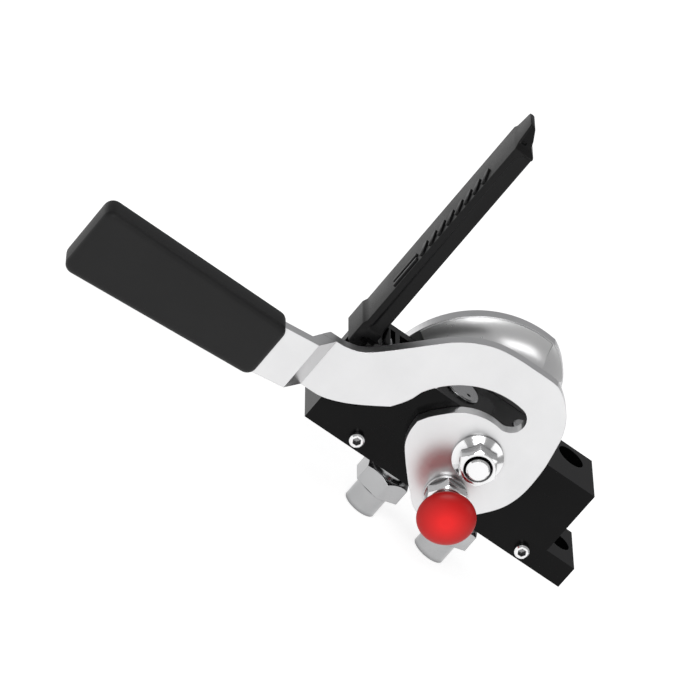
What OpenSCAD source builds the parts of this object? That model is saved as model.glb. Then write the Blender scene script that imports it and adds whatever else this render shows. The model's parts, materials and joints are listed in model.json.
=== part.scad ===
// Rope clutch with a lever tensioner: block body, cam clutch with an upright handle,
// twin hook plates with a grooved quadrant between them, and a locking plunger.
// Millimetres. X runs along the block, Y to the rear, Z up.
// The origin is the centre of the block's base face.

/* [Block] */
// Length of the block
block_l = 160; // [150:1:200]
// Depth of the block, front to rear
block_d = 38; // [34:0.5:50]
// Height of the block
block_h = 51.5; // [48:0.5:64]
// Length of the low flange at the right end
flange_l = 17.5; // [17:0.5:24]
// Height of the low flange
flange_h = 13; // [8:0.5:20]
// Diameter of the vertical bolt hole in the flange
flange_hole_d = 13; // [8:0.1:13]
// Diameter of the vertical rope hole near the right end
rope_hole_d = 15.3; // [8:0.1:18]
// Distance of the rope hole from the pivot, along the block
rope_hole_x = 48.5; // [42:0.1:50]
// Distance of the rope hole behind the middle of the block
rope_hole_y = 7.5; // [0:0.1:8]

/* [Lever] */
// Depth of the lever's pivot below the block's top
pivot_drop = 15.1; // [14:0.1:16]
// Thickness of the hook plates
plate_t = 6.5; // [5:0.1:9]
// Gap between each hook plate and the block
plate_gap = 0.5; // [0.3:0.1:1]
// Radius of the hook plates' rim round the pivot
rim_r = 55.8; // [55:0.1:57]
// How far the neck of the lever is set forward of its plate
joggle = 16.2; // [12:0.1:20]
// Length of the grip
grip_l = 108.6; // [90:0.1:130]
// Height of the grip at its inner end
grip_h = 33; // [32:0.1:40]
// Thickness of the grip
grip_t = 17; // [14:0.1:22]
// Angle at which the grip widens toward its tip
grip_flare = 4.2; // [0:0.1:6]

/* [Slot] */
// Radius of the slot's middle line
slot_r = 36; // [35.5:0.1:36.5]
// Width of the slot between the hook and the boss
slot_w = 15.3; // [10:0.1:16]

/* [Quadrant] */
// Depth of the rope groove in the quadrant
groove_depth = 9; // [5:0.1:10]
// Inner radius of the quadrant
quadrant_ri = 41; // [40:0.1:44]

/* [Pivot] */
// Diameter of the pivot bolt
pivot_d = 12; // [10:0.1:12]
// Outer diameter of the sleeve on the bolt
sleeve_d = 16; // [15:0.1:17]
// Outer diameter of the bushes in the block
bush_d = 20; // [19:0.1:21]
// Diameter of the nut's and the bolt head's flange
pivot_flange_d = 26; // [23:0.1:28]
// Width across flats of the pivot nut
pivot_af = 18; // [16:0.1:19]

/* [Plunger] */
// Distance of the plunger below the pivot
plunger_drop = 25.9; // [25.5:0.1:26.5]
// Diameter of the plunger's pin
pin_d = 8; // [6:0.1:8.5]
// Width of the plunger body across its corners
plunger_body_d = 22; // [19:0.1:24]
// Diameter of the knob
knob_d = 30; // [24:0.1:34]
// Travel of the pin into the block
pin_travel = 5.5; // [4:0.1:6]

/* [Clutch handle] */
// Height of the handle's tip above the base
handle_top = 189; // [150:1:220]
// Width of the handle, front to rear
handle_w = 25.2; // [20:0.1:25.6]
// Thickness of the handle
handle_t = 11; // [8:0.1:14]
// Diameter of the handle's and the cam's pins
hinge_d = 5; // [4:0.1:6]
// Depth of the recess in each side of the handle
recess_depth = 1.6; // [1:0.1:3]

/* [Through bolts] */
// Distance between the two bolts
bolt_pitch = 43.8; // [42:0.1:46]
// Diameter of the bolts
bolt_d = 18.5; // [14:0.1:19]
// Diameter of the low bolt heads
bolt_head_d = 21.5; // [20:0.1:26]
// Width of the nuts across flats
nut_af = 24.6; // [24:0.1:30]
// Gap between the block and the nuts, which leaves room for a deck or a bracket
nut_drop = 6.3; // [3:0.1:8]
// Length of the bolts below the block
stud_reach = 31; // [28:0.5:40]

/* [Side screws] */
// Distance between the two side screws
side_pitch = 104; // [96:0.1:108]
// Diameter of the side screws' heads
side_head_d = 7.8; // [5:0.1:9]

/* [Hidden] */

// How far a cut runs past the face it opens
over = 1;
// Clearance of a running fit, on the diameter
run_fit = 0.1;
// Gap between pieces that pass each other
air = 0.4;
steel = [0.84, 0.84, 0.85];
black = [0.1, 0.1, 0.1];

// Places along Y
front = -block_d / 2;
rear = block_d / 2;
plate_back = front - plate_gap;
plate_face = plate_back - plate_t;
rear_plate_in = rear + plate_gap;
rear_plate_out = rear_plate_in + plate_t;
neck_face = plate_face - joggle;

// Axis of the lever's pivot and of the plunger
pivot_z = block_h - pivot_drop;
plunger_z = pivot_z - plunger_drop;

// Lever arm, measured from the pivot: bend lines of the joggle, and the mitre of each bend
bend_in = -94.8;
bend_out = bend_in - 10.4;
bend_angle = atan2(joggle, bend_in - bend_out);
mitre = plate_t * tan(bend_angle / 2);
arm_top = 9.2;
arm_bottom = -20.1;
neck_drop = 2.2;
// How far the strip that the arm is bent from runs past the plate to the right, and its height
strip_right = 60;
strip_h = 150;

// Slot in the hook plates, measured from the pivot
slot_c = [-5.9, -8.3];
slot_in = slot_r - slot_w / 2;
slot_out = slot_r + slot_w / 2;
slot_end = 80.6;
// The rim turns in on a smaller arc at the right
corner_c = [-6.8, 23.7];
corner_r = rim_r - 21.1;
corner_a = 66;
// Round end of the plates about the plunger
lobe_r = 17.5;

// Quadrant: its two lengths meet on a plane across X, and its left end clears the block's top
quadrant_a0 = 78;
quadrant_clear = 0.3;
quadrant_a1 = 180 - asin((pivot_drop + quadrant_clear) / quadrant_ri);
corner_end = 31;
rim_split = 6;
rim_step = 0.6;
rim_joint = 0.05;
groove_lip = 0.8;
main_r = rim_r - rim_step;
nose_r = corner_r - rim_step;
nose_ri = corner_r - rim_r + quadrant_ri;
quadrant_half = block_d / 2 + plate_gap;
screw_d = 3;
screw_head_d = 5.5;
screw_head_h = 3.2;
screw_socket = 2.5;
screw_bite = 4.5;
screw_r = quadrant_ri + 2.6;
screw_angles = [130, 109, 88];
nose_screw_a = 46;

// Grip
grip_right = -122.8;
grip_left = grip_right - grip_l;
grip_bottom = -24.2;
grip_top = grip_bottom + grip_h;
grip_front = neck_face + plate_t / 2 - grip_t / 2;
grip_back = grip_front + grip_t;
grip_round = 4;
tang_w = 20;
tang_gap = 0.05;
tang_left = grip_left + 14;

// Pivot
pivot_end = plate_face - 13.6;
pivot_nut_h = 12;
pivot_nut_washer = 1.4;
pivot_head_flange = 2;
pivot_head_h = 7;
bush_l = block_d / 2 - 4;

// Locking plunger
plunger_stem_d = 15;
plunger_neck_d = 16;
chamber_d = 12;
stem_d = 5;
body_front = plate_face - 14.2;
chamber_front = body_front + 1.7;
chamber_back = plate_face + 2.5;
pin_tip = plate_back - 0.7;
shoulder_y = plate_face - 4;
knob_mid = plate_face - 24.6;
knob_half = 4.9;
spring_wire = 1.1;

// Lock holes: one under the pivot and one at the raised end of the swing
swing = 40;
lock_r = plunger_drop;
lock_bush_d = pin_d + 4;
lock_bush_l = pin_travel + 2.5;

// Handle
handle_left = -block_l / 2 - 5.5;
handle_right = handle_left + handle_t;
tip_w = handle_w - 10.4;
tip_t = 2.8;
tip_h = 11.8;
tip_slope = 10.4;
hub_r = 6.5;
hub_step = 1.1;
panel_top = handle_top - 13;

// Clutch pocket and its pins, all placed from the handle's hinge
hinge_x = handle_right + 0.5;
hinge_z = block_h - 6.5;
pocket_d = handle_w + 0.8;
pocket_floor = hinge_z - 29;
pocket_right = hinge_x + 33;
rib_t = 2;
rib_left = hinge_x + 5.4;
slot_left = hinge_x + 8.3;
slot_right = hinge_x + 11.3;
rib_right = hinge_x + 14;
cam_x = hinge_x + 12.5;
cam_z = hinge_z - 1;
cam_hub_d = 10;
cam_r = 7;
cam_r_least = 5.2;
cam_growth = 0.09;
cam_front = -pocket_d / 2 + air;
cam_back = pocket_d / 2 - 6.6;
cam_spring_r = 3.7;
cam_spring_wire = 1.2;
shoe_pin_x = hinge_x + 8.8;
shoe_pin_z = hinge_z - 22.8;
shoe_pin_d = 5.5;
shoe_top = hinge_z - 18.5;
shoe_left = hinge_x - 2;
shoe_right = hinge_x + 26;
tooth_pitch = 2;
tooth_h = 0.8;

// Through bolts under the block
washer_t = 2;
washer_d = bolt_d + 7;
nut_h = 11;
nut_end = -nut_drop - nut_h;
stud_end = -stud_reach;
stud_neck = 1.6;
stud_tip_d = bolt_d - 0.6;
bolt_head_h = 1.2;
// Two spanner holes in each bolt head
spanner_r = 6;
spanner_d = 2.4;
spanner_depth = 1.8;
// Side screws
side_z = 5.9;
side_screw_d = 4;
side_screw_l = 8;

// Points on a circle of radius r about c, from angle a0 to a1 in n steps
function arc(c, r, a0, a1, n) =
    [for (i = [0 : n]) let (a = a0 + (a1 - a0) * i / n) c + r * [cos(a), sin(a)]];

// A smooth open curve through the points p, with n steps from each to the next
function bent(a, b, c, d, t) =
    0.5 * (2 * b + (c - a) * t + (2 * a - 5 * b + 4 * c - d) * t * t
        + (3 * b - a - 3 * c + d) * t * t * t);
function at(p, i) = p[max(0, min(len(p) - 1, i))];
function curve(p, n = 6) = concat([for (i = [0 : len(p) - 2], k = [0 : n - 1])
    bent(at(p, i - 1), at(p, i), at(p, i + 1), at(p, i + 2), k / n)], [p[len(p) - 1]]);

// A tube swept along a helix about Z, closed at both ends
module helix(r, wire, turns, height, sides = 8, steps = 14) {
    rings = turns * steps;
    pts = [for (i = [0 : rings], k = [0 : sides - 1])
        let (a = 360 * i / steps, b = 360 * k / sides, d = r + wire / 2 * cos(b))
        [d * cos(a), d * sin(a), wire / 2 + (height - wire) * i / rings + wire / 2 * sin(b)]];
    walls = [for (i = [0 : rings - 1], k = [0 : sides - 1])
        [i * sides + k, (i + 1) * sides + k,
            (i + 1) * sides + (k + 1) % sides, i * sides + (k + 1) % sides]];
    first = [for (k = [0 : sides - 1]) k];
    last = [for (k = [sides - 1 : -1 : 0]) rings * sides + k];
    polyhedron(points = pts, faces = concat(walls, [first], [last]), convexity = 8);
}

// A cylinder along Y
module rod(d, y0, y1, x = 0, z = 0, fn = 64) {
    translate([x, y0, z]) rotate([-90, 0, 0]) cylinder(d = d, h = y1 - y0, $fn = fn);
}

// A flat shape drawn in X and Z, given thickness along Y
module slab(y0, y1) {
    translate([0, y1, 0]) rotate([90, 0, 0]) linear_extrude(y1 - y0) children();
}

// A hexagonal prism along +Z with its corners chamfered at the far end
module hex(af, h, cut = 1) {
    corner = af / cos(30);
    intersection() {
        cylinder(d = corner, h = h, $fn = 6);
        union() {
            cylinder(d = corner + over, h = h - cut, $fn = 64);
            translate([0, 0, h - cut])
                cylinder(d1 = corner + over / 4, d2 = af * 0.96, h = cut, $fn = 64);
        }
    }
}

// A hexagonal socket to be cut, along +Z
module socket(af, depth) {
    cylinder(d = af / cos(30), h = depth, $fn = 6);
}

/* Block */
module block() {
    color(black) difference() {
        translate([-block_l / 2, front, 0]) cube([block_l, block_d, block_h]);
        translate([block_l / 2 - flange_l, front - over, flange_h])
            cube([flange_l + over, block_d + 2 * over, block_h]);
        // flange bolt hole and rope hole
        translate([block_l / 2 - flange_l / 2 - 0.5, 0, -over])
            cylinder(d = flange_hole_d, h = flange_h + 2 * over, $fn = 64);
        translate([rope_hole_x, rope_hole_y, -over])
            cylinder(d = rope_hole_d, h = block_h + 2 * over, $fn = 64);
        // pivot bore
        rod(bush_d, front - over, rear + over, 0, pivot_z);
        // lock bush seats
        for (a = [0, swing])
            lock_place(a) rod(lock_bush_d, front - over, front + lock_bush_l);
        // through bolts
        for (s = [-1, 1])
            translate([s * bolt_pitch / 2, 0, -over])
                cylinder(d = bolt_d + run_fit, h = block_h + 2 * over, $fn = 64);
        // side screws
        for (s = [-1, 1])
            rod(side_screw_d, front - over, front + side_screw_l, s * side_pitch / 2, side_z, 32);
        clutch_pocket();
        // pins of the clutch
        rod(hinge_d, front - over, rear + over, hinge_x, hinge_z);
        rod(hinge_d, front - over, rear + over, cam_x, cam_z);
        rod(shoe_pin_d, front - over, rear + over, shoe_pin_x, shoe_pin_z);
    }
}

module lock_place(a) {
    translate([-lock_r * sin(a), 0, pivot_z - lock_r * cos(a)]) children();
}

// Rope channel and cam chamber, open at the left end, with two ribs left across its top
module clutch_pocket() {
    half = pocket_d / 2;
    left = -block_l / 2 - over;
    translate([left, -half, pocket_floor])
        cube([pocket_right - left, pocket_d, block_h - rib_t - pocket_floor]);
    slab(-half, half) polygon([[left, block_h - rib_t - over], [rib_left, block_h - rib_t - over],
        [slot_left - 0.6, block_h + over / 4], [left, block_h + over / 4]]);
    translate([slot_left, -half, block_h - rib_t - over])
        cube([slot_right - slot_left, pocket_d, rib_t + 2 * over]);
    translate([rib_right, -half, block_h - rib_t - over])
        cube([pocket_right - rib_right, pocket_d, rib_t + 2 * over]);
}

/* Hook plates and lever arm */
function right_edge() = concat(arc(corner_c, corner_r, corner_a, 10, 16),
    curve([[28.6, 23.6], [30.2, 13.6], [30.6, -0.4], [28.6, -10.9], [24.5, -18.9], [18.2, -26.9]]));
function lobe() = arc([0, -plunger_drop], lobe_r, -12, -145, 22);
function boss_edge() =
    curve([[-17, -33.8], [-23, -27.6], [-28.6, -21.6], [-33.3, -15.6], [-35.7, -8.9], [-36.2, -1.8]]);
function slot_inner() = concat(
    curve([[-36.2, -1.8], [-32.9, 3.8], slot_c + slot_in * [cos(140), sin(140)]]),
    arc(slot_c, slot_in, 137, slot_end, 18));
function slot_cap() =
    arc(slot_c + slot_r * [cos(slot_end), sin(slot_end)], slot_w / 2, slot_end - 176, slot_end - 4, 16);
function slot_outer() = arc(slot_c, slot_out, slot_end, 152, 20);

module front_outline() {
    upper = curve([[-104, arm_top], [-96, arm_top], [-89, 9.6], [-81.6, 11.9], [-75.1, 16.9],
        [-65.2, 26.8], [-54.3, 38.2], [-47.4, 44.6], [-39.5, 49.8], [-30.1, 53.8], [-19.3, 55.5],
        [-8, rim_r], [3, rim_r]]);
    mouth = curve([[-46, 6.6], [-48.3, 2.1], [-51.9, -3.4]]);
    lower = curve([[-51.9, -3.4], [-60, -8.9], [-68, -13.8], [-75.1, -17.2], [-82.5, -19.6],
        [-90, arm_bottom], [-104, arm_bottom]]);
    polygon(concat(upper, right_edge(), lobe(), boss_edge(), slot_inner(), slot_cap(), slot_outer(),
        mouth, lower));
}

module neck_outline() {
    polygon([[bend_in + over, arm_top], [bend_out, arm_top - 0.3],
        [grip_right - 3, arm_top - neck_drop - 0.4], [grip_right - 3, arm_bottom - neck_drop - 0.8],
        [bend_out, arm_bottom], [bend_in + over, arm_bottom]]);
    polygon([[grip_right, grip_bottom + 16.5 + tang_w / 2], [tang_left, grip_bottom + 14.5 + tang_w / 2],
        [tang_left, grip_bottom + 14.5 - tang_w / 2], [grip_right, grip_bottom + 16.5 - tang_w / 2]]);
}

// The lever's side view from above: flat plate, joggle and neck, one thickness throughout
module bent_strip() {
    linear_extrude(strip_h) polygon([[strip_right, plate_face], [bend_in, plate_face],
        [bend_out, neck_face], [tang_left - over, neck_face], [tang_left - over, neck_face + plate_t],
        [bend_out - mitre, neck_face + plate_t], [bend_in - mitre, plate_back],
        [strip_right, plate_back]]);
}

module lever_plate() {
    color(steel) difference() {
        translate([0, 0, pivot_z]) intersection() {
            translate([0, 0, -strip_h / 2]) bent_strip();
            union() {
                slab(plate_face - over, plate_back + over) front_outline();
                slab(neck_face - over, plate_back + over) neck_outline();
            }
        }
        rod(pivot_d + run_fit, plate_face - over, plate_back + over, 0, pivot_z);
        rod(plunger_stem_d, plate_face - over, plate_back + over, 0, plunger_z);
        screw_places() rod(screw_d, plate_back - screw_bite, plate_back + over, fn = 32);
    }
}

module rear_plate() {
    hook = arc([0, 0], rim_r, 180, 84, 40);
    mouth = curve([[-46, 6.6], [-48.3, 2.1], [-52.2, -3.4]]);
    color(steel) difference() {
        translate([0, 0, pivot_z]) slab(rear_plate_in, rear_plate_out)
            polygon(concat(hook, right_edge(), lobe(), boss_edge(), slot_inner(), slot_cap(),
                slot_outer(), mouth));
        rod(pivot_d + run_fit, rear_plate_in - over, rear_plate_out + over, 0, pivot_z);
        screw_places() rod(screw_d + run_fit, rear_plate_in - over, rear_plate_out + over, fn = 32);
        screw_places()
            rod(screw_head_d + run_fit, rear_plate_out - screw_head_h, rear_plate_out + over, fn = 32);
    }
}

/* Quadrant between the plates */
module screw_places() {
    for (a = screw_angles)
        translate([screw_r * cos(a), 0, pivot_z + screw_r * sin(a)]) children();
    translate([corner_c[0] + (nose_ri + 2.6) * cos(nose_screw_a), 0,
        pivot_z + corner_c[1] + (nose_ri + 2.6) * sin(nose_screw_a)]) children();
}

// A length of plain rim, turned about a line along Y through the point c
module rim(c, outer, inner, a0, a1) {
    translate([c[0], 0, pivot_z + c[1]]) rotate([90, 0, 0]) rotate([0, 0, a0])
        rotate_extrude(angle = a1 - a0, $fn = 180)
            translate([inner, -quadrant_half]) square([outer - inner, 2 * quadrant_half]);
}

// The hollow of the groove in such a rim
module groove(c, outer, a0, a1) {
    half = quadrant_half - groove_lip;
    groove_r = (half * half + groove_depth * groove_depth) / (2 * groove_depth);
    translate([c[0], 0, pivot_z + c[1]]) rotate([90, 0, 0]) rotate([0, 0, a0])
        rotate_extrude(angle = a1 - a0, $fn = 180)
            translate([outer - groove_depth + groove_r, 0]) circle(r = groove_r, $fn = 180);
}

// Everything to one side of the plane where the rim's two lengths meet
module beside_split(left) {
    translate([left ? rim_split + rim_joint - rim_r : rim_split, -quadrant_half - over, 0])
        cube([rim_r, 2 * (quadrant_half + over), pivot_z + rim_r + over]);
}

module rope_quadrant() {
    color(steel) difference() {
        rim([0, 0], main_r, quadrant_ri, quadrant_a0, quadrant_a1);
        groove([0, 0], main_r, quadrant_a0 - 8, quadrant_a1 + 4);
        beside_split(false);
        screw_places() rod(screw_d + run_fit, plate_back - over, rear_plate_in + over, fn = 32);
    }
}

module quadrant_nose() {
    color(steel) difference() {
        rim(corner_c, nose_r, nose_ri, corner_end, corner_a + 6);
        groove(corner_c, nose_r, corner_end - 4, corner_a + 14);
        beside_split(true);
        screw_places() rod(screw_d + run_fit, plate_back - over, rear_plate_in + over, fn = 32);
    }
}

module quadrant_screws() {
    color(steel) screw_places() difference() {
        union() {
            rod(screw_d, plate_back - screw_bite, rear_plate_out - screw_head_h + over / 4, fn = 32);
            rod(screw_head_d, rear_plate_out - screw_head_h, rear_plate_out, fn = 32);
        }
        translate([0, rear_plate_out - screw_head_h + 1.4, 0]) rotate([-90, 0, 0])
            socket(screw_socket, screw_head_h);
    }
}

/* Grip */
module grip_outline() {
    drop = grip_l * tan(grip_flare);
    polygon([[grip_right, grip_bottom], [grip_right, grip_top], [grip_left, grip_top],
        [grip_left, grip_bottom - drop]]);
}

module lever_grip() {
    // the ball of the rounding is taken off the outline before it is added back
    color(black) difference() {
        translate([0, 0, pivot_z]) minkowski() {
            slab(grip_front + grip_round, grip_back - grip_round)
                offset(delta = -grip_round) grip_outline();
            sphere(r = grip_round, $fn = 20);
        }
        // socket for the tang
        translate([0, 0, pivot_z]) slab(neck_face - tang_gap, neck_face + plate_t + tang_gap)
            offset(delta = tang_gap) neck_outline();
    }
}

/* Pivot */
module pivot_bolt() {
    color(steel) {
        rod(pivot_d, pivot_end + 0.8, rear_plate_out + pivot_head_flange / 2, 0, pivot_z);
        translate([0, pivot_end + 0.8, pivot_z]) rotate([90, 0, 0])
            cylinder(d1 = pivot_d, d2 = pivot_d - 1.6, h = 0.8, $fn = 64);
        rod(pivot_flange_d, rear_plate_out, rear_plate_out + pivot_head_flange, 0, pivot_z);
        translate([0, rear_plate_out + pivot_head_flange, pivot_z]) rotate([-90, 0, 0])
            hex(pivot_af, pivot_head_h, 1.2);
    }
}
module pivot_nut() {
    color(steel) translate([0, plate_face, pivot_z]) rotate([90, 0, 0]) difference() {
        union() {
            cylinder(d = pivot_flange_d, h = pivot_nut_washer, $fn = 96);
            translate([0, 0, pivot_nut_washer])
                cylinder(d1 = pivot_flange_d, d2 = pivot_af * 1.02, h = 2.4, $fn = 96);
            hex(pivot_af, pivot_nut_h, 1.4);
        }
        translate([0, 0, -over]) cylinder(d = pivot_d + run_fit, h = pivot_nut_h + 2 * over, $fn = 64);
        translate([0, 0, pivot_nut_h - 1.4])
            cylinder(d1 = pivot_d + run_fit, d2 = pivot_d + 2.8, h = 1.4 + over / 100, $fn = 64);
    }
}

module pivot_sleeve() {
    color(steel) difference() {
        rod(sleeve_d, plate_back, rear_plate_in, 0, pivot_z);
        rod(pivot_d + run_fit, plate_back - over, rear_plate_in + over, 0, pivot_z);
    }
}

module pivot_bush(y0, y1) {
    color("peru") difference() {
        rod(bush_d, y0, y1, 0, pivot_z);
        rod(sleeve_d + run_fit, y0 - over, y1 + over, 0, pivot_z);
    }
}
module pivot_bush_front() pivot_bush(front, front + bush_l);
module pivot_bush_rear() pivot_bush(rear - bush_l, rear);

/* Locking plunger */
module plunger_body() {
    color(steel) translate([0, 0, plunger_z]) difference() {
        union() {
            rod(plunger_stem_d, plate_face - over, plate_back - 0.4);
            rod(plunger_body_d, plate_face - 2.6, plate_face);
            translate([0, plate_face - 2.5, 0]) rotate([90, 0, 0]) hex(plunger_body_d * cos(30), 8.5, 1);
            rod(plunger_neck_d, body_front, plate_face - 10);
        }
        rod(pin_d + run_fit, plate_face - over, plate_back + over);
        rod(chamber_d, chamber_front, chamber_back);
        rod(stem_d + run_fit, body_front - over, chamber_front + over);
    }
}

module plunger_pin() {
    color(steel) translate([0, 0, plunger_z]) {
        rod(pin_d, shoulder_y - 0.1, pin_tip);
        rod(chamber_d - 0.6, shoulder_y - 1.5, shoulder_y);
        rod(stem_d, knob_mid - 1, shoulder_y - 1.4);
    }
}

module plunger_spring() {
    color(steel) translate([0, chamber_front + 0.3, plunger_z]) rotate([-90, 0, 0])
        helix(chamber_d / 2 - 1.7, spring_wire, 4, shoulder_y - 1.8 - chamber_front - 0.3);
}

module plunger_knob() {
    color("red") translate([0, knob_mid, plunger_z]) rotate([90, 0, 0]) difference() {
        rotate_extrude($fn = 96) intersection() {
            scale([knob_d / 2 / knob_half, 1]) circle(r = knob_half, $fn = 96);
            translate([0, -knob_half]) square([knob_d, 2 * knob_half]);
        }
        translate([0, 0, -knob_half - over]) cylinder(d = stem_d, h = knob_half + over + 1, $fn = 48);
    }
}

module lock_bushes() {
    color("peru") for (a = [0, swing])
        lock_place(a) difference() {
            rod(lock_bush_d, front, front + lock_bush_l);
            rod(pin_d + 2 * run_fit, front - over, front + lock_bush_l + over);
        }
}

/* Clutch */
module handle_side() {
    polygon(concat([[handle_left - hub_step, hinge_z - 0.8], [handle_left - hub_step, hinge_z + 10.8],
        [handle_left, hinge_z + 13.5], [handle_left, handle_top],
        [handle_left + tip_t, handle_top], [handle_right, handle_top - tip_slope]],
        [[handle_right, hinge_z + hub_r]], arc([hinge_x, hinge_z], hub_r, 88, -105, 24)));
}

module clutch_handle() {
    w = handle_w / 2;
    tip = tip_w / 2;
    color(black) difference() {
        intersection() {
            slab(-w, w) handle_side();
            rotate([90, 0, 90]) translate([0, 0, handle_left - 20]) linear_extrude(60)
                polygon([[-w, 0], [w, 0], [w, handle_top - tip_h], [tip, handle_top + 0.01],
                    [-tip, handle_top + 0.01], [-w, handle_top - tip_h]]);
        }
        // side recesses
        for (s = [-1, 1])
            slab(s > 0 ? w - recess_depth : -w - over, s > 0 ? w + over : recess_depth - w)
                polygon([[handle_left + 3.2, hinge_z + 11], [handle_left + 3.2, panel_top - 1.5],
                    [handle_left + 5, panel_top], [handle_right - 1.6, panel_top],
                    [handle_right - 1.6, hinge_z + 11]]);
        rod(hinge_d + run_fit, -w - over, w + over, hinge_x, hinge_z);
    }
}

module handle_pin() {
    color(steel) rod(hinge_d, front + 0.5, rear - 0.5, hinge_x, hinge_z);
}

module clutch_cam() {
    // the lobe grows to the right, so that turning the cam brings a larger radius to the rope
    lobe_pts = [for (a = [-150 : 10 : -40])
        max(cam_r_least, cam_r + (a + 90) * cam_growth) * [cos(a), sin(a)]];
    teeth = [for (i = [0 : len(lobe_pts) - 1]) lobe_pts[i] * (i % 2 == 0 ? 1 : 0.93)];
    color(steel) difference() {
        union() {
            rod(cam_hub_d, cam_front, cam_back, cam_x, cam_z);
            slab(cam_front, cam_back) translate([cam_x, cam_z])
                polygon(concat(teeth, [[5, 0], [0, 4.5], [-5, 0]]));
        }
        rod(hinge_d + run_fit, cam_front - over, cam_back + over, cam_x, cam_z);
    }
}

module cam_pin() {
    color(steel) rod(hinge_d, front + 0.5, rear - 0.5, cam_x, cam_z);
}

module cam_spring() {
    color(steel) translate([cam_x, cam_back + air, cam_z]) rotate([-90, 0, 0])
        helix(cam_spring_r, cam_spring_wire, 4, pocket_d / 2 - cam_back - 2 * air);
}

module rope_shoe() {
    half = pocket_d / 2 - air / 2;
    teeth = [for (x = [shoe_left + 3 : tooth_pitch : shoe_right - 4])
        each [[x, shoe_top - tooth_h], [x + tooth_pitch * 0.7, shoe_top]]];
    color(steel) difference() {
        slab(-half, half) polygon(concat([[shoe_left, pocket_floor], [shoe_left, shoe_top - 3]], teeth,
            [[shoe_right, shoe_top - 3], [shoe_right, pocket_floor]]));
        rod(shoe_pin_d, -half - over, half + over, shoe_pin_x, shoe_pin_z);
    }
}

module shoe_pin() {
    color(steel) rod(shoe_pin_d, front + 1.2, rear - 1.2, shoe_pin_x, shoe_pin_z);
}

/* Fasteners */
module side_screws() {
    color(steel) for (s = [-1, 1])
        translate([s * side_pitch / 2, front, side_z]) rotate([90, 0, 0]) difference() {
            union() {
                translate([0, 0, -side_screw_l])
                    cylinder(d = side_screw_d, h = side_screw_l + over / 4, $fn = 32);
                cylinder(d = side_head_d, h = 2.8, $fn = 64);
                translate([0, 0, 2.8])
                    cylinder(d1 = side_head_d, d2 = side_head_d - 1.6, h = 0.8, $fn = 64);
            }
            translate([0, 0, 1.4]) socket(4, 3);
        }
}

module through_bolts() {
    color(steel) for (s = [-1, 1])
        translate([s * bolt_pitch / 2, 0, 0]) difference() {
            union() {
                translate([0, 0, nut_end]) cylinder(d = bolt_d, h = block_h - nut_end, $fn = 96);
                translate([0, 0, nut_end - stud_neck])
                    cylinder(d = bolt_d - 1.6, h = stud_neck + over, $fn = 96);
                translate([0, 0, stud_end])
                    cylinder(d = stud_tip_d, h = nut_end - stud_neck - stud_end, $fn = 96);
                translate([0, 0, block_h]) cylinder(d = bolt_head_d, h = bolt_head_h - 0.6, $fn = 96);
                translate([0, 0, block_h + bolt_head_h - 0.6])
                    cylinder(d1 = bolt_head_d, d2 = bolt_head_d - 1.2, h = 0.6, $fn = 96);
            }
            for (k = [-1, 1])
                rotate([0, 0, -45]) translate([k * spanner_r, 0, block_h + bolt_head_h - spanner_depth])
                    cylinder(d = spanner_d, h = spanner_depth + over, $fn = 32);
        }
}

module stud_washers() {
    color(steel) for (s = [-1, 1])
        translate([s * bolt_pitch / 2, 0, -washer_t]) difference() {
            cylinder(d = washer_d, h = washer_t, $fn = 96);
            translate([0, 0, -over]) cylinder(d = bolt_d + run_fit, h = washer_t + 2 * over, $fn = 64);
        }
}

module stud_nuts() {
    color(steel) for (s = [-1, 1])
        translate([s * bolt_pitch / 2, 0, nut_end]) rotate([0, 0, 30]) difference() {
            hex(nut_af, nut_h, 1.8);
            translate([0, 0, -over]) cylinder(d = bolt_d + run_fit, h = nut_h + 2 * over, $fn = 64);
        }
}

block();
lever_plate();
rear_plate();
rope_quadrant();
quadrant_nose();
quadrant_screws();
lever_grip();
pivot_bolt();
pivot_nut();
pivot_sleeve();
pivot_bush_front();
pivot_bush_rear();
plunger_body();
plunger_pin();
plunger_spring();
plunger_knob();
lock_bushes();
clutch_handle();
handle_pin();
clutch_cam();
cam_pin();
cam_spring();
rope_shoe();
shoe_pin();
side_screws();
through_bolts();
stud_washers();
stud_nuts();
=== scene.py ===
import json
import math
import bmesh
import bpy
from mathutils import Matrix, Vector


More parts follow.
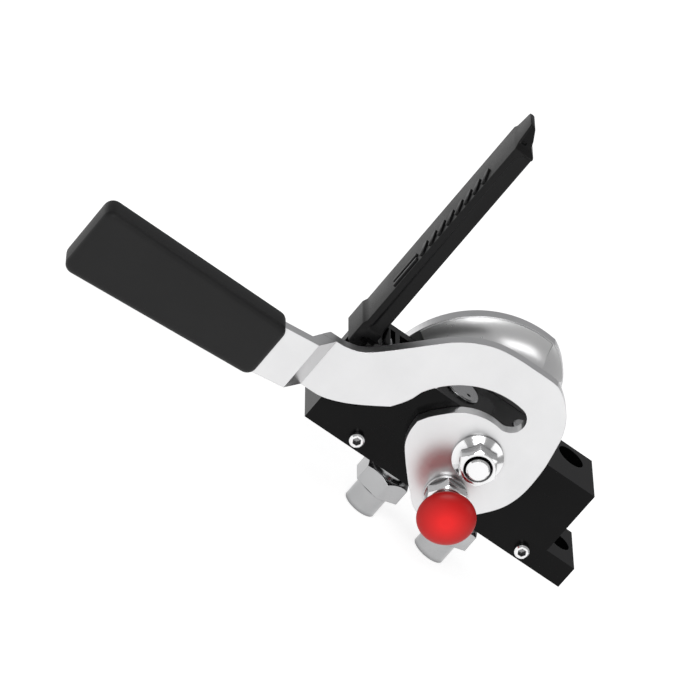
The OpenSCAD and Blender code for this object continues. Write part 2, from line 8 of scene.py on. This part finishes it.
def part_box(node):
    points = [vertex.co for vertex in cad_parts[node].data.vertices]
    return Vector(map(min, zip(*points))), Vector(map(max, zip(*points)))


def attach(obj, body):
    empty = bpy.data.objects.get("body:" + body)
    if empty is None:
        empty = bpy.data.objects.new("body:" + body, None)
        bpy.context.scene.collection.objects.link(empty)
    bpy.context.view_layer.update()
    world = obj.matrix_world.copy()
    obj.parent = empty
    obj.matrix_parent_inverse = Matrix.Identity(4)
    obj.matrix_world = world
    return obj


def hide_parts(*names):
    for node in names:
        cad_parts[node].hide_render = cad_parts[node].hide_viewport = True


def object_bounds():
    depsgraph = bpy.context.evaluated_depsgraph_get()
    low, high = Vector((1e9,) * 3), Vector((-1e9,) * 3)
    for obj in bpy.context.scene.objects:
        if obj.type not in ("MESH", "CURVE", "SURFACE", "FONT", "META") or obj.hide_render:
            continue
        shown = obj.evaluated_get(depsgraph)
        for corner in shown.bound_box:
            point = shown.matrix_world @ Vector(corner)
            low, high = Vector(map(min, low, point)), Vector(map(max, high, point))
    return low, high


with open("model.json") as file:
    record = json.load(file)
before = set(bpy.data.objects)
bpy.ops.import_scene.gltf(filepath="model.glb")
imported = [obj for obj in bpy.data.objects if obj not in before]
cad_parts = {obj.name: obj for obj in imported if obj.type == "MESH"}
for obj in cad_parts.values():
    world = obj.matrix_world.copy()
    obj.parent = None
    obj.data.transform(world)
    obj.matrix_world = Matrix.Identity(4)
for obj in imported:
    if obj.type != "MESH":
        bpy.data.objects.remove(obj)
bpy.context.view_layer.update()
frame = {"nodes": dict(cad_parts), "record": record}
NODES = frame["nodes"]
MM = 0.001

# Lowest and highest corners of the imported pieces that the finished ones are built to
grip_lo, grip_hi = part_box("lever_grip")
handle_lo, handle_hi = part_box("clutch_handle")
knob_lo, knob_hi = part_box("plunger_knob")
hinge_lo, hinge_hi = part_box("handle_pin")


def mm(v):
    """A length of the frame, in millimetres."""
    return v / MM


# ---------------------------------------------------------------- materials
class Tree:
    """A small helper that adds and joins shader nodes."""

    def __init__(self, name):
        self.mat = bpy.data.materials.new(name)
        self.mat.use_nodes = True
        self.nodes = self.mat.node_tree.nodes
        self.links = self.mat.node_tree.links
        self.bsdf = self.nodes["Principled BSDF"]

    def add(self, kind, **values):
        node = self.nodes.new(kind)
        for key, value in values.items():
            setattr(node, key, value)
        return node

    def join(self, a, b):
        self.links.new(a, b)

    def place(self, scale=(1, 1, 1)):
        coords = self.add("ShaderNodeTexCoord")
        mapping = self.add("ShaderNodeMapping")
        mapping.inputs["Scale"].default_value = scale
        self.join(coords.outputs["Object"], mapping.inputs["Vector"])
        return mapping.outputs["Vector"]

    def noise(self, vector, scale, detail=3.0, rough=0.55):
        n = self.add("ShaderNodeTexNoise")
        n.inputs["Scale"].default_value = scale
        n.inputs["Detail"].default_value = detail
        n.inputs["Roughness"].default_value = rough
        self.join(vector, n.inputs["Vector"])
        return n.outputs["Fac"]

    def spread(self, value, lo, hi, a=0.3, b=0.7):
        r = self.add("ShaderNodeMapRange")
        r.inputs["From Min"].default_value = a
        r.inputs["From Max"].default_value = b
        r.inputs["To Min"].default_value = lo
        r.inputs["To Max"].default_value = hi
        self.join(value, r.inputs["Value"])
        return r.outputs["Result"]

    def times(self, a, b):
        m = self.add("ShaderNodeMath", operation="MULTIPLY")
        self.join(a, m.inputs[0])
        self.join(b, m.inputs[1])
        return m.outputs[0]

    def plus(self, a, b):
        m = self.add("ShaderNodeMath", operation="ADD", use_clamp=True)
        self.join(a, m.inputs[0])
        self.join(b, m.inputs[1])
        return m.outputs[0]

    def mix(self, fac, a, b):
        m = self.add("ShaderNodeMix", data_type="RGBA")
        m.inputs[6].default_value = (*a, 1)
        m.inputs[7].default_value = (*b, 1)
        self.join(fac, m.inputs[0])
        return m.outputs[2]

    def tint(self, fac, body, colour):
        """The body's colour turned toward another one by a factor."""
        m = self.add("ShaderNodeMix", data_type="RGBA")
        m.inputs[7].default_value = (*colour, 1)
        self.join(fac, m.inputs[0])
        self.join(body, m.inputs[6])
        return m.outputs[2]

    def edges(self, radius):
        """1 on the sharp edges, 0 on the faces, and the rounded normal itself."""
        bevel = self.add("ShaderNodeBevel", samples=4)
        bevel.inputs["Radius"].default_value = radius
        geometry = self.add("ShaderNodeNewGeometry")
        dot = self.add("ShaderNodeVectorMath", operation="DOT_PRODUCT")
        self.join(bevel.outputs["Normal"], dot.inputs[0])
        self.join(geometry.outputs["Normal"], dot.inputs[1])
        mask = self.spread(dot.outputs["Value"], 1, 0, 0.86, 0.99)
        return mask, bevel.outputs["Normal"]

    def bump(self, height, strength, distance, normal=None):
        b = self.add("ShaderNodeBump")
        b.inputs["Strength"].default_value = strength
        b.inputs["Distance"].default_value = distance
        self.join(height, b.inputs["Height"])
        if normal is not None:
            self.join(normal, b.inputs["Normal"])
        return b.outputs["Normal"]


def metal(name, tone, dark, rough, grain, brush=None, edge=0.35, wear=0.25, strength=0.12, shade=0.0,
          reach=1.8):
    """A bare metal: tone with darker patches, roughness that varies, a fine brushed or tumbled grain, and,
    when shade is set, painted shade darkening the corners where pieces meet.
    """
    t = Tree(name)
    even = t.place()
    fine = t.place(scale=brush or (1, 1, 1))
    patches = t.noise(even, 38, 4)
    specks = t.noise(fine, grain, 4, 0.6)
    mask, soft = t.edges(edge * MM)
    worn = t.times(mask, t.spread(t.noise(even, 190, 3), 0, wear))
    body = t.mix(t.spread(patches, 0, 1), dark, tone)
    if shade:
        # painted shade: the colour darkens toward near-black in the corners where pieces meet, by ambient
        # occlusion
        corner = t.add("ShaderNodeAmbientOcclusion", samples=6)
        corner.inputs["Distance"].default_value = reach * MM
        body = t.tint(t.spread(corner.outputs["AO"], shade, 0, 0.4, 0.92), body, (0.06, 0.06, 0.062))
    t.join(body, t.bsdf.inputs["Base Color"])
    t.bsdf.inputs["Metallic"].default_value = 1.0
    base_rough = t.spread(t.plus(t.times(patches, specks), worn), rough[0], rough[1], 0.1, 0.55)
    t.join(base_rough, t.bsdf.inputs["Roughness"])
    t.join(t.bump(specks, strength, 0.02 * MM, soft), t.bsdf.inputs["Normal"])
    return t.mat


def dark_coat(name, tone, lift, rough, grain, level, edge, wear_tone, strength, wear=0.5, rim_shade=None):
    """A coated or moulded finish: anodising, plastic or rubber, with scuffed edges, a fine grain and, when
    given, painted shade that deepens the colour toward the outer edge.
    """
    t = Tree(name)
    even = t.place()
    patches = t.noise(even, 30, 5)
    specks = t.noise(even, grain, 3, 0.6)
    mask, soft = t.edges(edge * MM)
    scuffs = t.times(mask, t.spread(t.noise(even, 240, 4), 0, wear, 0.42, 0.72))
    body = t.mix(t.spread(patches, 0, 1), tone, lift)
    if rim_shade:
        # painted shade: the knob's colour deepens from its middle to its outer edge, by distance from its
        # axis in object space
        coords = t.add("ShaderNodeTexCoord")
        offset = t.add("ShaderNodeVectorMath", operation="SUBTRACT")
        offset.inputs[1].default_value = (knob_lo + knob_hi) / 2
        flat = t.add("ShaderNodeVectorMath", operation="MULTIPLY")
        flat.inputs[1].default_value = (1, 0, 1)
        away = t.add("ShaderNodeVectorMath", operation="LENGTH")
        t.join(coords.outputs["Object"], offset.inputs[0])
        t.join(offset.outputs[0], flat.inputs[0])
        t.join(flat.outputs[0], away.inputs[0])
        knob_r = (knob_hi.x - knob_lo.x) / 2
        body = t.tint(t.spread(away.outputs["Value"], 0, 1, 3 * MM, knob_r), body, rim_shade)
    t.join(t.tint(scuffs, body, wear_tone), t.bsdf.inputs["Base Color"])
    t.join(t.spread(t.times(patches, specks), rough[0], rough[1], 0.1, 0.45), t.bsdf.inputs["Roughness"])
    t.bsdf.inputs["Specular IOR Level"].default_value = level
    t.join(t.bump(specks, strength, 0.05 * MM, soft), t.bsdf.inputs["Normal"])
    return t.mat


# Each slot's finish: its two tones, its range of roughness, the scale of its grain and what else it has
LOOKS = {
    "black_anodised": dark_coat("anodised_black", (0.0022, 0.0022, 0.0023), (0.0040, 0.0040, 0.0041),
                                (0.10, 0.20), 5200, 0.10, 0.35, (0.045, 0.045, 0.047), 0.10,
                                wear=0.35),
    # shade sets how strongly painted shade darkens a metal in the corners where pieces meet, and reach sets
    # how far it spreads
    "satin_stainless": metal("stainless_satin", (0.74, 0.74, 0.745), (0.685, 0.685, 0.69),
                             (0.28, 0.36), 900, brush=(0.12, 1.0, 1.6), edge=0.45, shade=0.25),
    "polished_steel": metal("steel_polished", (0.84, 0.84, 0.84), (0.80, 0.80, 0.805),
                            (0.27, 0.31), 900, brush=(1, 0.3, 1), edge=0.3, strength=0.02, shade=0.3),
    "chrome_steel": metal("chrome_bright", (0.84, 0.84, 0.845), (0.79, 0.79, 0.795),
                          (0.10, 0.17), 1400, edge=0.4, strength=0.05, shade=0.95, reach=3.5),
    "zinc_steel": metal("zinc_plated", (0.47, 0.47, 0.475), (0.39, 0.395, 0.40),
                        (0.16, 0.26), 1500, edge=0.4, shade=0.85, reach=3.0),
    "spring_steel": metal("spring_wire", (0.60, 0.60, 0.61), (0.45, 0.45, 0.46),
                          (0.22, 0.4), 2200, edge=0.1),
    "cast_cam": metal("cam_cast", (0.52, 0.52, 0.53), (0.36, 0.36, 0.37),
                      (0.35, 0.6), 1800, edge=0.3, strength=0.35),
    "bronze": metal("bronze_machined", (0.62, 0.42, 0.20), (0.48, 0.31, 0.14),
                    (0.2, 0.4), 900, brush=(1, 0.2, 1), edge=0.25),
    "dark_pin": dark_coat("pin_black_oxide", (0.012, 0.012, 0.013), (0.022, 0.022, 0.024),
                          (0.25, 0.4), 3000, 0.4, 0.25, (0.12, 0.12, 0.12), 0.15),
    "grip_rubber": dark_coat("rubber_soft", (0.0085, 0.0085, 0.0088), (0.0125, 0.0125, 0.0128),
                             (0.42, 0.60), 3600, 0.22, 0.3, (0.03, 0.03, 0.031), 0.45, wear=0.3),
    "handle_plastic": dark_coat("plastic_grained", (0.0045, 0.0045, 0.0047), (0.0080, 0.0080, 0.0082),
                                (0.34, 0.52), 1700, 0.16, 0.3, (0.05, 0.05, 0.052), 0.8, wear=0.4),
    # the knob's darker red toward its outer edge is painted shade
    "red_knob": dark_coat("knob_gloss_red", (0.78, 0.004, 0.004), (0.84, 0.008, 0.008),
                          (0.34, 0.42), 900, 0.30, 0.3, (0.60, 0.02, 0.02), 0.05,
                          rim_shade=(0.36, 0.001, 0.001)),
}
slot_of = {s["node"]: s["material_slot"] for s in frame["record"]["subparts"]}
for name, obj in NODES.items():
    obj.data.materials.clear()
    obj.data.materials.append(LOOKS[slot_of[name]])


# ---------------------------------------------------------------- mesh helpers
def finish_piece(name, bm, slot, body, level, node=None):
    """A piece from its mesh, smooth but for edges sharper than a level in degrees."""
    bmesh.ops.recalc_face_normals(bm, faces=bm.faces)
    mesh = bpy.data.meshes.new(name)
    bm.to_mesh(mesh)
    bm.free()
    obj = bpy.data.objects.new(name, mesh)
    bpy.context.scene.collection.objects.link(obj)
    mesh.materials.append(LOOKS[slot])
    mesh.shade_smooth()
    mesh.set_sharp_from_angle(angle=math.radians(level))
    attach(obj, body)
    if node:
        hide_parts(node)


def rounded(points, radius, steps):
    """The outline of a polygon with each corner rounded to a radius."""
    out = []
    count = len(points)
    for i in range(count):
        a = Vector(points[i - 1])
        b = Vector(points[i])
        c = Vector(points[(i + 1) % count])
        to_a = (a - b).normalized()
        to_c = (c - b).normalized()
        half = to_a.angle(to_c) / 2
        reach = radius / math.tan(half)
        centre = b + (to_a + to_c).normalized() * (radius / math.sin(half))
        start = b + to_a * reach - centre
        stop = b + to_c * reach - centre
        turn = start.angle_signed(stop)
        for k in range(steps + 1):
            angle = turn * k / steps
            rot = Matrix.Rotation(-angle, 2)
            out.append(tuple(centre + rot @ start))
    return out


def ring_shell(bm, rings):
    """Joins rings of the same number of points into one closed shell, capped at both ends."""
    loops = [[bm.verts.new(p) for p in ring] for ring in rings]
    count = len(loops[0])
    for a, b in zip(loops, loops[1:]):
        for i in range(count):
            k = (i + 1) % count
            bm.faces.new((a[i], a[k], b[k], b[i]))
    bm.faces.new(list(reversed(loops[0])))
    bm.faces.new(loops[-1])


def inward(points):
    """1 for an outline that runs anticlockwise, -1 for one that runs clockwise."""
    area = sum(a[0] * b[1] - b[0] * a[1] for a, b in zip(points[-1:] + points[:-1], points))
    return 1 if area > 0 else -1


def inset_outline(points, amount):
    """A rounded outline with each of its points moved inward by an amount."""
    count = len(points)
    side = inward(points)
    out = []
    for i in range(count):
        a = Vector(points[i - 1])
        b = Vector(points[i])
        c = Vector(points[(i + 1) % count])
        d = (c - a).normalized()
        out.append(tuple(b + Vector((-d.y, d.x)) * amount * side))
    return out


def inset_outline_straight(points, amount):
    """A polygon with straight sides, each side moved inward by an amount."""
    count = len(points)
    side = inward(points)
    out = []
    for i in range(count):
        a, b, c = Vector(points[i - 1]), Vector(points[i]), Vector(points[(i + 1) % count])
        d1, d2 = (b - a).normalized(), (c - b).normalized()
        n1 = Vector((-d1.y, d1.x)) * side
        n2 = Vector((-d2.y, d2.x)) * side
        out.append(tuple(b + (n1 + n2) * (amount / (1 + n1.dot(n2)))))
    return out


# ---------------------------------------------------------------- rubber grip
def grip_ring(corners, amount, radius, y):
    """One ring of the grip: its outline moved in by an amount, with its corners rounded."""
    moved = inset_outline_straight(corners, amount)
    return [(x * MM, y * MM, z * MM) for x, z in rounded(moved, max(radius - amount, 0.9), 8)]


def make_grip():
    """The moulded grip: a block with rounded corners and rolled edges, deeper toward its left end."""
    corner_r, roll = 5.4, 3.4
    flare_angle = math.radians(4.2)
    x0, x1 = mm(grip_lo.x), mm(grip_hi.x)
    top, low = mm(grip_hi.z), mm(grip_lo.z)
    near, far = mm(grip_lo.y), mm(grip_hi.y)
    flare = (x1 - x0) * math.tan(flare_angle)
    corners = [(x1, low + flare), (x1, top), (x0, top), (x0, low)]
    levels = [(roll + 8, far), (roll + 3, far)]
    for k in range(9):
        a = math.pi / 2 * k / 8
        levels.append((roll - roll * math.sin(a), far - roll + roll * math.cos(a)))
    for k in range(1, 9):
        a = math.pi / 2 * k / 8
        levels.append((roll - roll * math.cos(a), near + roll - roll * math.sin(a)))
    levels += [(roll + 1.2, near + 0.02), (roll + 3, near), (roll + 8, near)]
    bm = bmesh.new()
    ring_shell(bm, [grip_ring(corners, amount, corner_r, y) for amount, y in levels])
    finish_piece("grip_moulding", bm, "grip_rubber", "lever", 50, "lever_grip")


# ---------------------------------------------------------------- clutch handle
def between(z, table):
    """A straight-line reading of a short table of (z, value) pairs."""
    if z <= table[0][0]:
        return table[0][1]
    for (za, va), (zb, vb) in zip(table, table[1:]):
        if z <= zb:
            return va + (vb - va) * (z - za) / (zb - za)
    return table[-1][1]


# Places of the handle in millimetres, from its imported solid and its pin
skin = 0.05
hub_x = mm(hinge_lo.x + hinge_hi.x) / 2
hub_z = mm(hinge_lo.z + hinge_hi.z) / 2
hub_r = 6.45
hub_face = mm(handle_lo.x) + skin
broad_face = hub_face + 1.1
thin_face = hub_x - 0.5
edge_r = 0.9
panel_slope = 1.7


def make_handle():
    """The moulded handle, lofted upwards in level sections with a sunken panel in each side."""
    top = mm(handle_hi.z)
    wide = mm(handle_hi.y)
    # each table pairs a height, from the hinge or down from the tip, with a place or a depth
    left_table = [(hub_z - 6.4, hub_x - 1.5), (hub_z - 0.8, hub_face), (hub_z + 10.8, hub_face),
                  (hub_z + 13.5, broad_face), (top, broad_face)]
    right_table = [(hub_z + 6.4, thin_face), (top - 13.2, thin_face), (top - 12.0, thin_face - 0.5),
                   (top - 10.6, thin_face - 2.3), (top - 9.0, thin_face - 3.8), (top - 6.4, thin_face - 4.7),
                   (top - 3.0, thin_face - 6.5), (top - 1.2, thin_face - 7.5), (top - 0.4, thin_face - 8.2),
                   (top, thin_face - 9)]
    wide_table = [(hub_z, wide), (top - 12.6, wide), (top - 11.6, wide - 1), (top - 10.4, wide - 2.4),
                  (top - 9, wide - 3), (top - 3, wide - 4.6), (top - 1.2, wide - 5), (top - 0.4, wide - 5.6),
                  (top, wide - 6.4)]
    # the small hollow by the hub, the long panel, and the small hollow in the shoulder
    depth_table = [(hub_z + 2.6, 0), (hub_z + 2.9, 1.5), (hub_z + 5, 1.5), (hub_z + 5.3, 0),
                   (hub_z + 10.6, 0), (hub_z + 12.4, 1.6), (top - 14.8, 1.6), (top - 12.8, 0),
                   (top - 9.8, 0), (top - 9.5, 0.9), (top - 8.5, 0.9), (top - 8.2, 0)]
    sunk_left = [(hub_z + 5.3, 4.2), (hub_z + 10.6, 4.4), (hub_z + 12, 3.1), (top - 18, 3.1),
                 (top - 15.2, 4.0), (top - 12.8, 6.6), (top - 12.4, 0.9)]
    sunk_right = [(top - 14.8, 9.6), (top - 12.8, 8.6), (top - 12.4, 4.0)]
    panel_from, panel_to = hub_z + 11, top - 13
    levels = [hub_z + d for d in (-6.35, -5.8, -4.8, -3.5, -2, -0.8, 0.5, 2, 2.6, 2.9, 4, 5, 5.3, 6.2, 7.6,
                                  9, 10.6, 10.8, 11.3, 12, 13.5, 15)]
    levels += [hub_z + 15 + 5 * k for k in range(1, 22)]
    levels += [top - d for d in (19, 17, 15.8, 14.8, 14, 13.2, 12.6, 12.0, 11.6, 10.6, 9.8, 9.5, 9.0, 8.5,
                                 8.2, 6.4, 4.7, 3, 2, 1.2, 0.7, 0.4, 0.15, 0)]
    bm = bmesh.new()
    rings = []
    for z in levels:
        xl = between(z, left_table)
        xr = between(z, right_table)
        if z < hub_z + 6.4:
            xr = max(hub_x + math.sqrt(max(hub_r ** 2 - (z - hub_z) ** 2, 0.02)), xl + 1.2)
        w = between(z, wide_table)
        deep = between(z, depth_table)
        r = min(edge_r, (xr - xl) / 4)
        span = xr - xl - 2 * r
        a = min(max(between(z, sunk_left) - r, 0.2), span - 1.2)
        b = min(max(between(z, sunk_right) - r, a + 0.8), span - 0.3)
        slope = min(panel_slope, (b - a) / 3)
        step = deep if panel_from < z < panel_to else 0
        side = []
        for k in range(5):
            t = math.pi / 2 * k / 4
            side.append((xl + r - r * math.cos(t), w - r + r * math.sin(t)))
        x_a, x_b = xl + r + a, xl + r + b
        side += [(x_a, w), (x_a + slope * 0.25, w - deep * 0.25), (x_a + slope * 0.6, w - deep * 0.8),
                 (x_a + slope, w - deep), (x_b - slope * 0.5, w - deep), (x_b, w - step)]
        for k in range(5):
            t = math.pi / 2 * k / 4
            side.append((xr - r + r * math.sin(t), w - step - r + r * math.cos(t)))
        ring = [(x, -y) for x, y in side] + list(reversed(side))
        rings.append([(x * MM, y * MM, z * MM) for x, y in ring])
    ring_shell(bm, rings)
    finish_piece("handle_moulding", bm, "handle_plastic", "handle", 32, "clutch_handle")


def slanted_bar(bm, x_face, y_mid, z_mid, tall, wide, lean, proud):
    """A raised bar on the handle's broad face, leaning along the handle, with rounded ends."""
    outline = rounded([(-wide / 2 - lean, -tall / 2), (wide / 2 - lean, -tall / 2),
                       (wide / 2 + lean, tall / 2), (-wide / 2 + lean, tall / 2)], min(wide, tall) * 0.3, 3)
    levels = [(0, 0.3), (0, -proud * 0.7), (0.06, -proud * 0.92), (0.16, -proud)]
    rings = []
    for amount, dx in levels:
        rings.append([((x_face + dx) * MM, (y_mid + v) * MM, (z_mid + u) * MM)
                      for u, v in inset_outline(outline, amount)])
    ring_shell(bm, rings)


def make_handle_ribs():
    """Plain slanted bars in place of the lettering."""
    bm = bmesh.new()
    x_face = broad_face - skin
    row_y = -6.6
    bars, first_bar, bar_pitch = 8, hub_z + 59.5, 7.0
    rail_z, rail_l = hub_z + 44.5, 19
    for i in range(bars):
        slanted_bar(bm, x_face, row_y, first_bar + bar_pitch * i, 8.4, 3.4, 2.2, 1.0)
    for y in (row_y + 2.4, row_y - 2.2):
        slanted_bar(bm, x_face, y, rail_z, 2.4, rail_l, 0, 0.9)
    finish_piece("handle_ribs", bm, "handle_plastic", "handle", 40)


make_grip()
make_handle()
make_handle_ribs()


# ---------------------------------------------------------------- floor, light, camera
def make_floor():
    """A pale floor just under the lowest piece, which also shines a little so that it stays white."""
    bm = bmesh.new()
    half = 9.0
    gap = 0.5 * MM
    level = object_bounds()[0][2] - gap
    steps = 6
    grid = [[bm.verts.new((-half + 2 * half * i / steps, -half + 2 * half * k / steps, level))
             for i in range(steps + 1)] for k in range(steps + 1)]
    for k in range(steps):
        for i in range(steps):
            bm.faces.new((grid[k][i], grid[k][i + 1], grid[k + 1][i + 1], grid[k + 1][i]))
    mesh = bpy.data.meshes.new("floor")
    bm.to_mesh(mesh)
    bm.free()
    floor = bpy.data.objects.new("floor", mesh)
    bpy.context.scene.collection.objects.link(floor)
    t = Tree("floor_pale")
    t.bsdf.inputs["Base Color"].default_value = (0.60, 0.60, 0.60, 1)
    t.bsdf.inputs["Roughness"].default_value = 1.0
    t.bsdf.inputs["Specular IOR Level"].default_value = 0.0
    t.bsdf.inputs["Emission Color"].default_value = (1, 1, 1, 1)
    t.bsdf.inputs["Emission Strength"].default_value = 0.76
    mesh.materials.append(t.mat)


def make_world():
    """An even grey studio, a little darker at the back."""
    world = bpy.data.worlds.new("studio")
    bpy.context.scene.world = world
    world.use_nodes = True
    nodes, links = world.node_tree.nodes, world.node_tree.links
    back = nodes["Background"]
    coords = nodes.new("ShaderNodeTexCoord")
    split = nodes.new("ShaderNodeSeparateXYZ")
    ramp = nodes.new("ShaderNodeValToRGB")
    links.new(coords.outputs["Generated"], split.inputs[0])
    links.new(split.outputs["Y"], ramp.inputs[0])
    ramp.color_ramp.elements[0].position = 0.0
    ramp.color_ramp.elements[0].color = (0.40, 0.40, 0.40, 1)
    ramp.color_ramp.elements[1].position = 0.75
    ramp.color_ramp.elements[1].color = (0.36, 0.36, 0.365, 1)
    links.new(ramp.outputs[0], back.inputs["Color"])
    back.inputs["Strength"].default_value = 1.0


def area(name, place, target, size, power):
    data = bpy.data.lights.new(name, "AREA")
    data.shape = "RECTANGLE"
    data.size, data.size_y = size
    data.energy = power
    obj = bpy.data.objects.new(name, data)
    obj.location = place
    obj.rotation_euler = (Vector(target) - Vector(place)).to_track_quat("-Z", "Y").to_euler()
    bpy.context.scene.collection.objects.link(obj)


make_floor()
make_world()
area("key", (-0.7, -1.6, 1.2), (0, 0, 0.05), (1.0, 1.0), 13)
area("fill", (1.3, -1.2, 0.9), (0, 0, 0.05), (1.0, 1.0), 3)
area("top", (0.1, 0.5, 1.8), (0, 0, 0), (1.0, 0.7), 3)

camera_data = bpy.data.cameras.new("camera")
camera_data.lens = 291.1
camera_data.sensor_width = 36
camera_data.clip_start = 0.05
camera_data.clip_end = 60
camera = bpy.data.objects.new("camera", camera_data)
right = Vector((0.7949, -0.0005, 0.6068))
up = Vector((-0.5393, 0.4578, 0.7068))
behind = Vector((-0.2781, -0.8891, 0.3636))
turn = Matrix((right, up, behind)).transposed().to_4x4()
camera.matrix_world = Matrix.Translation((-0.8591, -2.4950, 1.0557)) @ turn
bpy.context.scene.collection.objects.link(camera)
bpy.context.scene.camera = camera
bpy.context.scene.view_settings.view_transform = "Standard"

bpy.context.view_layer.update()
